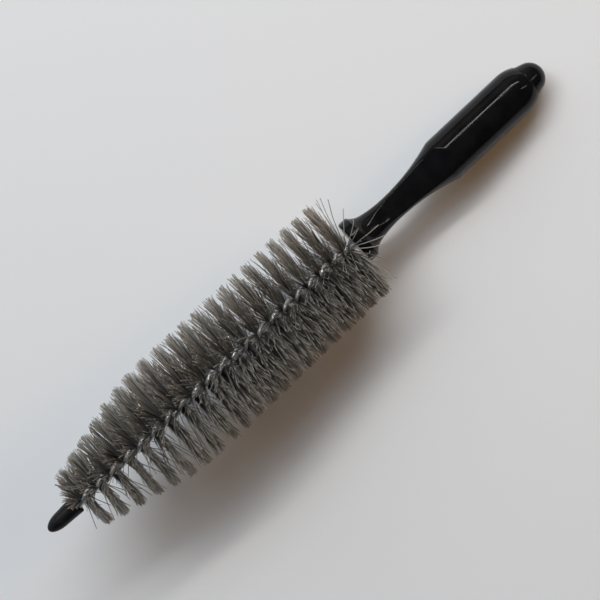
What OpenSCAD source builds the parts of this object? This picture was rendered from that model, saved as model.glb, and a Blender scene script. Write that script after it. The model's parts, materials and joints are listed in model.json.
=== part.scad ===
// Wheel brush: a tapering round brush of plastic filaments, held between two twisted wires,
// with a soft cap on its tip and a moulded, waisted handle with a domed plug in its rear end.
// X runs along the wires from the tip to the rear of the handle, and Z is up when the brush
// lies on its bristles. The origin is the middle of the round grip, on the axis.

/* [Handle] */
// Diameter of the round grip
grip_d = 26.7; // [22:0.1:34]
// Length of the round grip
grip_len = 53.2; // [40:0.1:90]
// Distance from the collar's front face to the start of the round grip
neck_len = 66; // [56:0.1:90]
// Width of the neck at its narrowest, seen from above
neck_w = 14.8; // [12:0.1:18]
// Distance from the collar's front face to the narrowest place
neck_w_at = 28; // [24:0.5:34]
// How far the upper and lower hollows run onto the round grip
hollow_run = 4.6; // [2:0.1:8]
// How much flatter the waist is towards the collar than one plain arc
waist_ease = 1.7; // [1.2:0.1:2.4]
// Wall of the neck over the wires, at its thinnest
neck_wall = 1.5; // [1.2:0.1:3]
// Distance from the collar's front face to the thinnest place
neck_t_at = 35; // [30:0.5:40]
// Diameter of the collar
collar_d = 26.8; // [22:0.1:34]
// Width of the collar's rim
rim_w = 5.8; // [4:0.1:8]
// Radius of the hollow flare behind the rim
flare_r = 12; // [8:0.5:16]
// Length of the rounded shoulder behind the grip
shoulder_len = 10; // [7:0.1:13]
// Rounding of the collar's front edge
edge_r = 1.5; // [0.5:0.1:2.5]
// Rounding where the shoulder meets the plug
lip_r = 0.6; // [0.2:0.1:0.9]
// Thickness of the grip's wall
grip_wall = 4.5; // [3.4:0.1:5.6]
// Distance from the start of the round grip to the bottom of the hole in it
cavity_at = 2; // [0.6:0.1:4.6]

/* [End plug] */
// How far the domed plug overlaps the wall of the hollow, on the radius
plug_overlap = 1.15; // [0.7:0.05:1.6]
// Width of the step between the plug and the shoulder
plug_step = 0.5; // [0.4:0.1:1.2]
// Length of the domed end
plug_len = 11.2; // [10.6:0.1:15]
// Angle by which the side of the dome narrows, in degrees
plug_taper = 16; // [6:1:20]
// Length of the spigot inside the grip
spigot_len = 10; // [6:0.5:16]
// Wall thickness of the plug
plug_wall = 1.8; // [1.2:0.1:2.6]

/* [Wires] */
// Diameter of one wire
wire_d = 2.6; // [2:0.1:3]
// Gap between the two wires, filled by the filaments
wire_gap = 0.4; // [0.3:0.05:0.8]
// How far the twisted wires stand out of the crimped sleeve
wire_tail = 2; // [1:0.5:6]

/* [Brush head] */
// Length of the filled stretch
head_len = 205.7; // [140:0.1:260]
// Diameter at the tip end
head_tip_d = 37; // [28:0.5:50]
// Largest diameter
head_d = 68.4; // [50:0.2:84]
// Diameter at the handle end
head_end_d = 65.6; // [48:0.2:82]
// Length of the tapered stretch
taper_len = 66; // [40:1:100]
// Number of half turns of filament rows
rows = 21; // [15:1:27]
// How much the twist tightens towards the handle, as a share
tighten = 0.09; // [0:0.01:0.15]
// Width of a row at the wires, along the brush
row_root = 2.4; // [1.6:0.1:3]
// Width of a row at the filament ends, along the brush
row_tip = 5.6; // [4:0.1:6.5]
// Space between the last row and the collar
collar_gap = 1.8; // [0.5:0.1:4]

/* [Tip cap] */
// Length of the tip cap
cap_len = 21.6; // [16:0.1:30]
// Wall of the cap at its mouth
cap_wall = 2.4; // [1.6:0.1:4]
// How much the cap narrows from its mouth to its nose, on the radius
cap_taper = 0.6; // [0:0.1:1]
// Length of the rounded nose
cap_nose_len = 10.5; // [7:0.5:14]
// Depth of the cap's hole
cap_hole = 14; // [10:0.5:15]

/* [Wire lock] */
// Length of the crimped sleeve
sleeve_len = 11; // [8:0.5:12]
// Wall of the crimped sleeve
sleeve_wall = 1.6; // [1:0.1:2]
// Thickness of the washer
washer_t = 1.5; // [1:0.1:2]

/* [Clearances] */
// Play around the twisted wires, on the radius
wire_play = 0.1; // [0.05:0.05:0.3]
// Play around the spigot and the washer, on the radius
plug_play = 0.1; // [0.05:0.05:0.3]
// Space between one filament row and the next
row_play = 0.3; // [0.1:0.05:0.6]
// Space between the wires' front end and the bottom of the cap's hole
tip_space = 1; // [0.5:0.1:2]

/* [Hidden] */
grip_r = grip_d / 2;
collar_r = collar_d / 2;
neck_r = neck_w / 2;
cavity_r = grip_r - grip_wall;
plug_r = cavity_r + plug_overlap;
shoulder_end_r = plug_r + plug_step;

// The dome is a cone at its foot and a ball at its end, which touch
plug_ball_at = (plug_len - plug_r * cos(plug_taper)) / (1 - sin(plug_taper));
plug_ball_r = plug_len - plug_ball_at;

// Places along the axis, seen from the middle of the grip
grip_start = -grip_len / 2;
grip_end = grip_len / 2;
collar_face = grip_start - neck_len;
body_end = grip_end + shoulder_len;
cavity_start = grip_start + cavity_at;
head_end = collar_face - collar_gap;
head_start = head_end - head_len;
cap_mouth = head_start - row_play;
tip = cap_mouth - cap_len;

// The two wires run side by side around the axis
wire_r = wire_d / 2;
wire_off = wire_r + wire_gap / 2;
core_r = wire_off + wire_r;
bore_r = core_r + wire_play;
sleeve_r = bore_r + sleeve_wall;
wire_start = cap_mouth - cap_hole + tip_space;
wire_end = cavity_start + washer_t + sleeve_len + wire_tail;
wire_sides = 8;
wire_step = 20; // degrees of twist from one ring to the next

// The side waist is one arc towards the grip, and an arc and the flare towards the collar
waist_grip_r = arc_radius(neck_len - neck_w_at, grip_r - neck_r);
waist_collar_r = waist_ease * arc_radius(neck_w_at - rim_w, collar_r - neck_r);
waist_arc = [neck_r + waist_collar_r, neck_w_at];
flare_arc = meet(waist_arc, waist_collar_r - flare_r, [collar_r, rim_w], flare_r);
flare_end = flare_arc[1] - flare_r * (neck_w_at - flare_arc[1]) / (waist_collar_r - flare_r);

// The upper and lower hollows are an arc towards the grip and a shorter one towards the collar
hollow_z = bore_r + neck_wall;
hollow_grip_r = arc_radius(neck_len + hollow_run - neck_t_at, grip_r - hollow_z);
hollow_collar_r = arc_radius(neck_t_at - rim_w - edge_r, collar_r - hollow_z);

shoulder_r = arc_radius(shoulder_len, grip_r - shoulder_end_r);
cap_r = bore_r + cap_wall;
row_steps = 10; // slices in one half turn of a row
web_play = 0.08; // space between the filaments and each wire
web_half = wire_gap / 2 - web_play;
web_end = wire_r + web_play;
fan_start = 0.8 * core_r; // where a row starts to fan out
big = 200; // larger than any part of the neck

// Radius of an arc that rises by rise over a run, starting level
function arc_radius(run, rise) = (run * run + rise * rise) / (2 * rise);

// The point nearer the axis where two circles meet
function meet(a, ra, b, rb) =
    let (v = b - a, d = norm(v), along = (ra * ra - rb * rb + d * d) / (2 * d))
    let (h = sqrt(ra * ra - along * along), u = v / d)
    a + u * along + h * [u[1], -u[0]];

function row_name(i) = str("filament_row_", i < 10 ? "0" : "", i);

// Place along the axis after n half turns, and the half turns at a place
function row_place(n) =
    head_start + head_len * ((1 + tighten) * n / rows - tighten * pow(n / rows, 2));
function half_turns(x) =
    let (c = (x - head_start) / head_len, a = 1 + tighten)
    rows * 2 * c / (a + sqrt(a * a - 4 * tighten * c));

// Angle of the filaments around the axis, level across the middle of each row, twisted left
function fill_angle(x) = 90 - 180 * half_turns(x);

// Radius of the head at a place along the axis
function head_r(x) =
    let (s = x - head_start)
    s < taper_len
        ? (head_tip_d + (head_d - head_tip_d) * s / taper_len) / 2
        : (head_d + (head_end_d - head_d) * (s - taper_len) / (head_len - taper_len)) / 2;

// The two triangles between one edge of a ring and the next ring of n points
function side_faces(first, j, k, n) = [
    [first + j, first + k, first + n + k],
    [first + j, first + n + k, first + n + j]
];

// A closed tube or bar through equal rings of points
module skin(rings) {
    n = len(rings[0]);
    last = len(rings) - 1;
    faces = concat(
        [[for (j = [n - 1 : -1 : 0]) j]],
        [for (i = [0 : last - 1], j = [0 : n - 1], f = side_faces(i * n, j, (j + 1) % n, n)) f],
        [[for (j = [0 : n - 1]) last * n + j]]
    );
    polyhedron(points = [for (r = rings, p = r) p], faces = faces);
}

// Turns a shape made along Z so that it runs along X from a place
module along_x(x) {
    translate([x, 0, 0]) rotate([0, 90, 0]) children();
}

// What a rounded edge of radius r takes off a corner at the origin
module corner(r) {
    difference() {
        translate([-r, -r]) square(2 * r);
        translate([-r, -r]) circle(r, $fn = 48);
        translate([-3 * r, -3 * r]) square([2 * r, 4 * r]);
        translate([-3 * r, -3 * r]) square([4 * r, 2 * r]);
    }
}

// One wire, wound around the axis at an angle from the filaments
function wire_ring(x, turn) =
    let (a = fill_angle(x) + turn, da = (fill_angle(x + 0.01) - fill_angle(x - 0.01)) / 0.02)
    let (n = [0, cos(a), sin(a)], w = wire_off * da * PI / 180)
    let (t = [1, -sin(a) * w, cos(a) * w] / norm([1, w, 0]), b = cross(t, n))
    [for (j = [0 : wire_sides - 1])
        let (c = 360 * j / wire_sides)
        [x, 0, 0] + n * (wire_off + wire_r * cos(c)) + b * wire_r * sin(c)];

module wire_strand(turn) {
    total = 180 * (half_turns(wire_end) - half_turns(wire_start));
    count = ceil(total / wire_step);
    color("silver")
        skin([for (i = [0 : count]) wire_ring(wire_start + (wire_end - wire_start) * i / count, turn)]);
}

// Outline of a row across the axis at a place: a web between the wires that fans out on each side
function fan(x) =
    let (r = head_r(x), lead = 2 * (row_place(half_turns(x) + 0.5) - row_place(half_turns(x) - 0.5)))
    let (spread = function (q) 180 * (row_root + (row_tip - row_root) * q / r) / lead)
    let (radii = [fan_start, r / 2, r])
    let (edge = concat([for (q = radii) [q, spread(q)]], [[r, spread(r) / 2]]))
    concat(
        [[web_end, -web_half]],
        [for (e = edge) e[0] * [cos(e[1]), -sin(e[1])]],
        [[r, 0]],
        [for (i = [len(edge) - 1 : -1 : 0]) edge[i][0] * [cos(edge[i][1]), sin(edge[i][1])]],
        [[web_end, web_half]]
    );

function fan_ring(x) =
    let (half = fan(x), both = concat(half, -half), a = fill_angle(x))
    [for (p = both) [x, p[0] * cos(a) - p[1] * sin(a), p[0] * sin(a) + p[1] * cos(a)]];

// One half turn of filaments, which stand out on both sides of the wires
module filament_row(i) {
    from = row_place(i - 1) + row_play / 2;
    to = row_place(i) - row_play / 2;
    color("dimgray")
        skin([for (k = [0 : row_steps]) fan_ring(from + (to - from) * k / row_steps)]);
}

module cap_outline() {
    nose_r = cap_r - cap_taper;
    nose = [for (a = [0 : 7.5 : 90]) [nose_r * sin(a), cap_nose_len * (1 - cos(a))]];
    polygon(concat(nose, [[cap_r, cap_len], [0, cap_len]]));
}

module tip_cap() {
    color([0.06, 0.06, 0.06])
        along_x(tip) difference() {
            rotate_extrude($fn = 72) cap_outline();
            translate([0, 0, cap_len - cap_hole]) cylinder(h = cap_hole + 1, r = bore_r, $fn = 48);
        }
}

// Half outline of the round body: collar, waist, grip and shoulder, from the collar's face
module body_outline() {
    length = body_end - collar_face;
    difference() {
        union() {
            square([collar_r, neck_w_at]);
            translate([0, neck_w_at]) square([grip_r, grip_end - collar_face - neck_w_at]);
            intersection() {
                translate([0, neck_w_at]) square([grip_r, length - neck_w_at]);
                translate([grip_r - shoulder_r, grip_end - collar_face]) circle(shoulder_r, $fn = 180);
            }
        }
        intersection() {
            translate([neck_r + waist_grip_r, neck_w_at]) circle(waist_grip_r, $fn = 360);
            translate([0, neck_w_at]) square(big);
        }
        intersection() {
            translate(waist_arc) circle(waist_collar_r, $fn = 360);
            translate([0, flare_end]) square([big, neck_w_at - flare_end]);
        }
        translate(flare_arc) circle(flare_r, $fn = 120);
        translate([collar_r, 0]) mirror([0, 1]) corner(edge_r);
        translate([shoulder_end_r, length]) corner(lip_r);
    }
}

// Side view of the space that one hollow takes out of the neck, above the middle
module hollow_outline() {
    intersection() {
        translate([neck_t_at, hollow_z + hollow_grip_r]) circle(hollow_grip_r, $fn = 360);
        translate([neck_t_at, 0]) square(big);
    }
    intersection() {
        translate([neck_t_at, hollow_z + hollow_collar_r]) circle(hollow_collar_r, $fn = 360);
        translate([neck_t_at - big, 0]) square([big + 0.01, big]);
    }
}

module handle_body() {
    color([0.05, 0.05, 0.05])
        difference() {
            along_x(collar_face) rotate_extrude($fn = 120) body_outline();
            for (side = [0, 1])
                translate([collar_face, 0, 0]) mirror([0, 0, side]) rotate([90, 0, 0])
                    linear_extrude(height = grip_d + 10, center = true) hollow_outline();
            along_x(collar_face - 1)
                cylinder(h = cavity_start - collar_face + 2, r = bore_r, $fn = 64);
            along_x(cavity_start) cylinder(h = body_end - cavity_start + 1, r = cavity_r, $fn = 96);
        }
}

module anchor_washer() {
    color("silver")
        along_x(cavity_start) difference() {
            cylinder(h = washer_t, r = cavity_r - plug_play, $fn = 72);
            translate([0, 0, -1]) cylinder(h = washer_t + 2, r = bore_r, $fn = 48);
        }
}

module crimp_sleeve() {
    color("gainsboro")
        along_x(cavity_start + washer_t) difference() {
            cylinder(h = sleeve_len, r = sleeve_r, $fn = 72);
            translate([0, 0, -1]) cylinder(h = sleeve_len + 2, r = bore_r, $fn = 48);
        }
}

// Half outline of the dome or of the hollow in it: a cone or a bore that meets a ball at an angle
module plug_dome(foot_r, ball_r, angle) {
    ball = [for (i = [0 : 15])
        let (a = angle + (90 - angle) * i / 15)
            [min(foot_r, ball_r * cos(a)), plug_ball_at + ball_r * sin(a)]];
    polygon(concat([[0, 0], [foot_r, 0]], ball));
}

module plug_outline() {
    spigot_r = cavity_r - plug_play;
    hollow_angle = acos(min(1, (spigot_r - plug_wall) / (plug_ball_r - plug_wall)));
    difference() {
        union() {
            plug_dome(plug_r, plug_ball_r, plug_taper);
            translate([0, -spigot_len]) square([spigot_r, spigot_len + 1]);
        }
        plug_dome(spigot_r - plug_wall, plug_ball_r - plug_wall, hollow_angle);
        translate([0, -spigot_len - 1]) square([spigot_r - plug_wall, spigot_len + 2]);
        translate([plug_r, 0]) mirror([0, 1]) corner(lip_r / 2);
    }
}

module end_plug() {
    color([0.07, 0.07, 0.07])
        along_x(body_end) rotate_extrude($fn = 96) plug_outline();
}

tip_cap();
wire_strand(90);  // wire_strand_1
wire_strand(-90);  // wire_strand_2
for (i = [1 : rows])
    filament_row(i);
handle_body();
anchor_washer();
crimp_sleeve();
end_plug();
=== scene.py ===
"""Wheel brush: filaments held in rows between two twisted wires, with a tip cap and a moulded handle.

X runs along the brush from the tip cap to the rear of the handle, and Z is up. All sizes are in metres.
"""

import json
import math
from functools import partial

import bpy
import numpy as np
from bpy.props import FloatProperty, FloatVectorProperty, IntProperty, PointerProperty
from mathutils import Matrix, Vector


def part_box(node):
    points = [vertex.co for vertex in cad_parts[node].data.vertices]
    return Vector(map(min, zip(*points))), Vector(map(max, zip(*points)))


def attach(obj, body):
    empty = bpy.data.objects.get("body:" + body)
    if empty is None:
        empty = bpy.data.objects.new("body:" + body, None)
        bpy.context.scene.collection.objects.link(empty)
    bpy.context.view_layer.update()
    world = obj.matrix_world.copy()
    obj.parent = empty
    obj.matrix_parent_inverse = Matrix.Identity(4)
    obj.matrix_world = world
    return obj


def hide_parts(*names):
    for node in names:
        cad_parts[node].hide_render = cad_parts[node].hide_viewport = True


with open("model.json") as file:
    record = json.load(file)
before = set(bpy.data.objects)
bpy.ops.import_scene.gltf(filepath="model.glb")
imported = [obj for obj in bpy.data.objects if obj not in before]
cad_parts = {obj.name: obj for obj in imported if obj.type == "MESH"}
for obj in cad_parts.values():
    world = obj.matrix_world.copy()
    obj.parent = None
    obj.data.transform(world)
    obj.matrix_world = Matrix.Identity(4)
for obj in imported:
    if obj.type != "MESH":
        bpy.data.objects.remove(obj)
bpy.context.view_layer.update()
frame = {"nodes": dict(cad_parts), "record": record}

bl_info = {
    "name": "Wheel brush",
    "version": (1, 0, 0),
    "blender": (4, 5, 0),
    "location": "View3D > Sidebar > Wheel Brush",
    "description": "Builds a wheel brush with twisted wires, rows of filaments and a moulded handle",
    "category": "Object",
}

MM = 0.001
BODY = "root"

# Places that the frame gives
ROW_NODES = sorted(name for name in frame["nodes"] if name.startswith("filament_row_"))
ROWS = len(ROW_NODES)
ROW_BOXES = [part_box(name) for name in ROW_NODES]
ROW_PLAY = ROW_BOXES[1][0].x - ROW_BOXES[0][1].x
HEAD_START = ROW_BOXES[0][0].x - ROW_PLAY / 2
HEAD_END = ROW_BOXES[-1][1].x + ROW_PLAY / 2
HEAD_LEN = HEAD_END - HEAD_START
FIRST_ROW = ROW_BOXES[0][1].x - ROW_BOXES[0][0].x + ROW_PLAY
LAST_ROW = ROW_BOXES[-1][1].x - ROW_BOXES[-1][0].x + ROW_PLAY
TIGHTEN = (FIRST_ROW - LAST_ROW) * ROWS**2 / (HEAD_LEN * (2 * ROWS - 2))
ROW_RADII = [(high.y - low.y) / 2 for low, high in ROW_BOXES]
WIRE_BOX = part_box("wire_strand_1")
CORE_R = WIRE_BOX[1].z
CAP_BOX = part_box("tip_cap")
BODY_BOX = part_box("handle_body")
PLUG_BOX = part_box("end_plug")
GRIP_MOUNT = next(mount for mount in frame["record"]["mounts"] if mount["name"] == "grip")

# Random properties of a filament: a number added to its row's seed, and the lowest and highest value
DRAWS = {
    "place": (11, 0, 1),
    "turn": (23, -1, 1),
    "more turn": (24, -0.6, 0.6),
    "droop": (27, 0.5, 1.5),
    "shortness": (31, 0, 1),
    "length": (37, 0.975, 1.012),
    "lean": (41, -0.7, 0.7),
    "more lean": (43, -0.45, 0.45),
    "stray": (45, 0, 1),
    "stray lean": (47, -1, 1),
    "stray turn": (48, -1, 1),
    "hook": (51, -1, 1),
    "rest": (53, 0, 0.8 * MM),
    "shade": (61, 0, 1),
}
FIRST_SEED, SEED_STEP = 100, 7
# Inputs of the filament tree that a setting of the same name gives
SAME_INPUTS = ("Thickness", "Pinch", "Spread", "Splay", "Wave", "Strays", "Stray Lean", "Curl")
SHORTEST = 0.12  # share that the shortest filaments lack
STRAY_TURN = 0.4  # radians around the wires
# Noise that leans neighbours together, and noise that bends each filament
GROUPS, SIDES_APART, GROUP_SCALE, GROUP_PULL = 9, 7.3, 1.7, 4
WAVES_APART, WAVE_BENDS, WAVE_SEED, WAVE_PULL = 3.7, 1.3, 5.1, 4
# Powers: a few filaments are much shorter, a few hook, and a hook turns near the end
SHORT_FEW, HOOK_FEW, HOOK_TURN = 3, 5, 5
# Ends are paler, partly from the cut ends' own colour and partly as a painted highlight. Roots are darker
# with painted shade where the filaments crowd the wires. The powers keep each change near its end
TIP_PALE_AND_HIGHLIGHT, TIP_FADE, ROOT_PAINTED_SHADE, ROOT_FADE = 0.5, 9, -0.5, 2
STEM_POINTS, FILAMENT_SIDES, WIRE_SIDES = 8, 3, 16

# The rows near the tip are short: they hold fewer filaments, which stand straighter
TIP_FILL = 0.6
STIFF_ROWS, LOOSENING_ROWS, LEAST_LOOSE = 5, 6, 0.1
TOP_SPREAD = 1.8

CLEARANCE = 0.1 * MM  # around the wires in the cap and handle, and around the plug's spigot
CORE_SHARE = 0.2  # share of the twisted wires' radius where the filaments start
ARC_LIMIT = 0.98  # share of an arc's radius past which it isn't followed
SCAN_STEP, RING_STEP, RING_GAP = 0.05 * MM, 0.8 * MM, 0.02 * MM  # along the handle
CREASE_ZONE = 3 * MM  # on both sides of a crease, where the rings are closer together
PLUG_FOOT = 0.3 * MM  # rounding of the plug beside the seam
FLOOR_HALF = 12.0
NOTCH_TURN, NOTCH_RUN, NOTCH_DEPTH = 0.17, 3.2 * MM, 0.09

# Loose filaments that lean over the collar, in millimetres
LOOSE_PATHS = (
    ((-97, -0.6, 2.5), (-94.2, -0.7, 11), (-89, -1.0, 17.5), (-82.5, -1.6, 19.5), (-77.3, -1.7, 19)),
    ((-97, -0.4, 2.5), (-94.5, -1.0, 11), (-90, -3.4, 17), (-83.5, -6.4, 18.5), (-77.8, -8.4, 18)),
    ((-97, -0.8, 2.5), (-95, -2.0, 10.5), (-91.5, -5.2, 15.5), (-87, -8.5, 16.5), (-83.0, -10.5, 15.5)),
    ((-97, 0.8, 2.5), (-94.8, 1.4, 11), (-91.2, 2.4, 15.5), (-86.0, 4.4, 17)),
    ((-97, 1.0, 2.5), (-94.8, 2.4, 10), (-91.4, 4.6, 15.0), (-86.4, 8.0, 17.5), (-85.2, 9.6, 17.5)),
    ((-97, 1.2, 2.0), (-95.2, 5.0, 9), (-90.6, 11.0, 14), (-84.9, 17.6, 17)),
    ((-97, 1.4, 1.6), (-95.8, 7.0, 6), (-92.4, 17.0, 12), (-87.4, 26.8, 16)),
    ((-97, 1.4, 1.2), (-96.0, 9.0, 4), (-93.4, 20.0, 7), (-89.6, 30.6, 8.5)),
    ((-97, 1.4, 0.8), (-96.2, 10.0, 2), (-94.4, 21.0, 3.5), (-91.4, 31.4, 3)),
    ((-97, -1.2, 2.2), (-96.2, -3.6, 9.5), (-94.2, -7.2, 14.5), (-91.6, -9.4, 16.5), (-89.8, -8.8, 17)),
    ((-97, -1.4, 2.2), (-96.6, -4.4, 9), (-95.4, -8.6, 13.5), (-93.2, -11.4, 16), (-90.8, -12.4, 16.5)),
    ((-97, -1.4, 2.0), (-97.0, -5.0, 9), (-96.6, -9.6, 13), (-94.8, -13.0, 15), (-92.0, -14.6, 15)),
)


def row_place(turns):
    """Place along the axis after a number of half turns of the twist."""
    share = turns / ROWS
    return HEAD_START + HEAD_LEN * ((1 + TIGHTEN) * share - TIGHTEN * share**2)


def half_turns(x):
    """Half turns of the twist at a place along the axis."""
    share = (x - HEAD_START) / HEAD_LEN
    lead = 1 + TIGHTEN
    return ROWS * 2 * share / (lead + math.sqrt(lead**2 - 4 * TIGHTEN * share))


def head_radius(x):
    """Radius of the brush head at a place along the axis, from the rows' own sizes."""
    middles = [row_place(i + 0.5) for i in range(ROWS)]
    slope = (ROW_RADII[1] - ROW_RADII[0]) / (middles[1] - middles[0])
    if x < middles[0]:
        return ROW_RADII[0] + slope * (x - middles[0])
    return float(np.interp(x, middles, ROW_RADII))


def floor_height(slope):
    """Height of the floor at X = 0, where it just touches the rear of the grip."""
    shoulder_at = GRIP_MOUNT["pos_m"][0] + GRIP_MOUNT["dims"]["length_mm"] * MM / 2
    return -GRIP_MOUNT["dims"]["r_mm"] * MM - slope * shoulder_at


# Settings that a user would change


def mm(name, description, millimetres, **limits):
    """A length, given in millimetres like its limits."""
    limits = {key: value * MM for key, value in limits.items()}
    default = millimetres * MM
    return FloatProperty(name=name, description=description, default=default, unit="LENGTH", **limits)


def degrees(name, description, turn, **limits):
    """An angle, given in degrees like its limits."""
    limits = {key: math.radians(value) for key, value in limits.items()}
    default = math.radians(turn)
    return FloatProperty(name=name, description=description, default=default, subtype="ANGLE", **limits)


def number(name, description, value, **limits):
    """A plain number."""
    return FloatProperty(name=name, description=description, default=value, **limits)


def whole(name, description, value, **limits):
    """A whole number."""
    return IntProperty(name=name, description=description, default=value, **limits)


def watts(name, description, power):
    """The power of a light."""
    return FloatProperty(name=name, description=description, default=power, min=0, unit="POWER")


def rgb(name, description, *colour):
    """A colour."""
    return FloatVectorProperty(
        name=name, description=description, subtype="COLOR", size=3, default=colour, min=0, max=1
    )


class HandleSettings(bpy.types.PropertyGroup):
    """Sizes and finish of the moulded handle and its end plug"""

    grip_width: mm("Grip diameter", "Diameter of the round grip", 26.7, min=20, max=34)
    neck_length: mm("Neck length", "From the collar face to the round grip", 66)
    neck_width: mm("Neck width", "Width at the narrowest place", 14.8, min=12, max=20)
    neck_width_at: mm("Narrowest width at", "Distance from the collar face", 28)
    neck_depth: mm("Neck depth", "Thickness at the thinnest place", 8.8, min=7, max=14)
    neck_depth_at: mm("Thinnest depth at", "Distance from the collar face", 35)
    rim_width: mm("Collar rim", "Width of the collar's rim", 5.8)
    rim_round: mm("Collar edge", "Rounding of the collar's front edge", 1.5)
    flare: mm("Collar flare", "Radius of the hollow flare behind the rim", 12)
    waist_ease: number("Waist ease", "How much flatter the waist is towards the collar", 1.7, min=1, max=3)
    hollow_foot: mm("Hollow foot", "Height of the hollow just behind the collar's rim", 11.7)
    hollow_run: mm("Hollow run", "How far the hollows run onto the grip", 4.6)
    crown: mm("Hollow crown", "Radius of the hollows' slight crown across the handle", 42, min=20, max=1000)
    crown_rise: mm("Crown rise", "Height of the crown over the hollow", 0.25, min=0, max=1)
    crease: mm("Crease softness", "Rounding of the moulded creases", 0.45, min=0.1, max=2)
    shoulder: mm("Shoulder length", "Length of the rounded shoulder", 10, min=7, max=13)
    shoulder_width: mm("Shoulder end", "Diameter at the end of the shoulder", 21)
    shoulder_round: mm("Shoulder lip", "Rounding where the shoulder meets the plug", 0.6)
    cavity_width: mm("Cavity diameter", "Diameter of the hollow inside the grip", 17.7)
    plug_width: mm("Plug diameter", "Diameter of the end plug at the seam", 20)
    plug_taper: degrees("Plug taper", "Slope of the plug's side", 16, min=6, max=20)
    plug_wall: mm("Plug wall", "Thickness of the plug's wall", 1.8)
    colour: rgb("Handle colour", "Colour of the moulded handle", 0.0035, 0.0035, 0.0038)
    roughness: number("Handle roughness", "How dull the moulding is", 0.1, min=0.02, max=1)


class FilamentSettings(bpy.types.PropertyGroup):
    """Number, size and colour of the filaments"""

    count: whole("Filaments in a row", "Filament ends in the widest row", 425, min=40, max=3000)
    thickness: mm("Thickness", "Diameter of one filament", 0.48, min=0.1, max=1)
    pinch: number(
        "Pinch", "Width of a row between the wires, as a share of its width outside", 0.55, min=0.1, max=1
    )
    spread: mm("Spread", "How far a filament leans along the brush", 2.4, min=0, max=10)
    clump: mm("Clumping", "How far neighbouring filaments lean together", 1.6, min=0, max=10)
    splay: degrees("Splay", "How far a filament turns around the wires from its own place", 11, min=0, max=57)
    droop: degrees("Droop", "How far the filaments on top lean to one side", 24, min=0, max=57)
    wave: mm("Wave", "How far a filament bends from a straight line", 0.196, min=0, max=10)
    strays: number("Strays", "Share of filaments that stand out of their row", 0.05, min=0, max=0.5)
    stray_lean: mm("Stray lean", "How far a stray filament leans along the brush", 11, min=0, max=30)
    curl: mm("Curl", "How far the most hooked filament end turns aside", 2.17, min=0, max=10)
    colour_dark: rgb("Dark filament", "Colour of the darkest filaments", 0.062, 0.055, 0.048)
    colour_light: rgb("Light filament", "Colour of the lightest filaments", 0.41, 0.375, 0.325)


class WireSettings(bpy.types.PropertyGroup):
    """Sizes and finish of the twisted wires and of the washer and sleeve that lock them"""

    diameter: mm("Wire diameter", "Diameter of one wire", 2.6, min=1, max=4)
    points: whole("Points in a turn", "Rings of the mesh in one turn of the twist", 28, min=8, max=64)
    colour: rgb("Wire colour", "Colour of the drawn steel", 0.95, 0.95, 0.92)
    roughness: number("Wire roughness", "How dull the drawn steel is", 0.28, min=0.1, max=0.8)
    metallic: number("Wire metallic", "How much of the wire's surface is bare metal", 0.7, min=0, max=1)
    lock_colour: rgb("Lock colour", "Colour of the washer and sleeve", 0.6, 0.6, 0.61)
    lock_roughness: number("Lock roughness", "How dull the washer and sleeve are", 0.36, min=0.1, max=0.8)


class CapSettings(bpy.types.PropertyGroup):
    """Sizes and finish of the tip cap"""

    nose: mm("Nose length", "Length of the rounded nose", 10.5)
    taper: mm("Taper", "How much the cap narrows towards its nose, on the radius", 0.6)
    hole: mm("Hole depth", "Depth of the hole for the wires", 14)
    lip: mm("Lip", "Rounding of the cap's mouth", 0.45)
    colour: rgb("Cap colour", "Colour of the soft cap", 0.005, 0.005, 0.0055)


class StageSettings(bpy.types.PropertyGroup):
    """Floor, lights and camera"""

    floor_slope: number(
        "Floor slope", "Rise of the floor, which the last filaments and the grip touch", 0.16, min=0, max=0.3
    )
    floor_colour: rgb("Floor colour", "Colour of the plain floor", 0.79, 0.78, 0.768)
    strip_power: watts("Strip light", "Power of the long narrow light", 40)
    key_power: watts("Key light", "Power of the cool light around the strip", 51)
    soft_power: watts("Soft light", "Power of the wide cool light above", 53)
    wall_power: watts("Wall light", "Power of the dim low panel behind the soft light", 7)
    warm_power: watts("Warm light", "Power of the warm light beyond the handle", 5.8)
    glint_power: watts("Glint light", "Power of the narrow light that picks out the waist", 1.6)
    surround: number("Surround", "Brightness of the room above", 0.015, min=0, max=4)
    horizon: number("Horizon", "Brightness of the room at the edge of the floor", 0.5, min=0, max=4)
    view_turn: degrees("View turn", "How far the brush is turned in the view", 43.25)
    view_height: mm("Camera height", "Height of the camera over the axis", 800)
    view_x: mm("View centre along", "Place along the brush under the camera", -135.3)
    view_y: mm("View centre across", "Place across the brush under the camera", -2.25)
    lens: number("Lens", "Focal length in millimetres", 87.7, min=20, max=300)


class BrushSettings(bpy.types.PropertyGroup):
    """Everything on the wheel brush that a user would change"""

    handle: PointerProperty(type=HandleSettings)
    filaments: PointerProperty(type=FilamentSettings)
    wires: PointerProperty(type=WireSettings)
    cap: PointerProperty(type=CapSettings)
    stage: PointerProperty(type=StageSettings)


# Node trees

ARITHMETIC = ("MULTIPLY", "ADD", "SUBTRACT", "MULTIPLY_ADD")
SOCKET_KINDS = {int: "NodeSocketInt", float: "NodeSocketFloat", type(None): "NodeSocketMaterial"}


def feed(tree, socket, value):
    """Links a socket to a socket, or sets its value."""
    if isinstance(value, bpy.types.NodeSocket):
        tree.links.new(value, socket)
    elif value is not None:
        socket.default_value = value


def add_node(tree, kind, values=None, **settings):
    """A node with its settings made and its inputs fed."""
    node = tree.nodes.new(kind)
    for key, value in settings.items():
        setattr(node, key, value)
    for key, value in (values or {}).items():
        feed(tree, node.inputs[key], value)
    return node


def calc(tree, operation, *values):
    """The result of a Math node."""
    node = tree.nodes.new("ShaderNodeMath")
    node.operation = operation
    for socket, value in zip(node.inputs, values):
        feed(tree, socket, value)
    return node.outputs[0]


def join_vector(tree, x, y, z):
    """A vector of three values."""
    return add_node(tree, "ShaderNodeCombineXYZ", {"X": x, "Y": y, "Z": z}).outputs[0]


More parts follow.
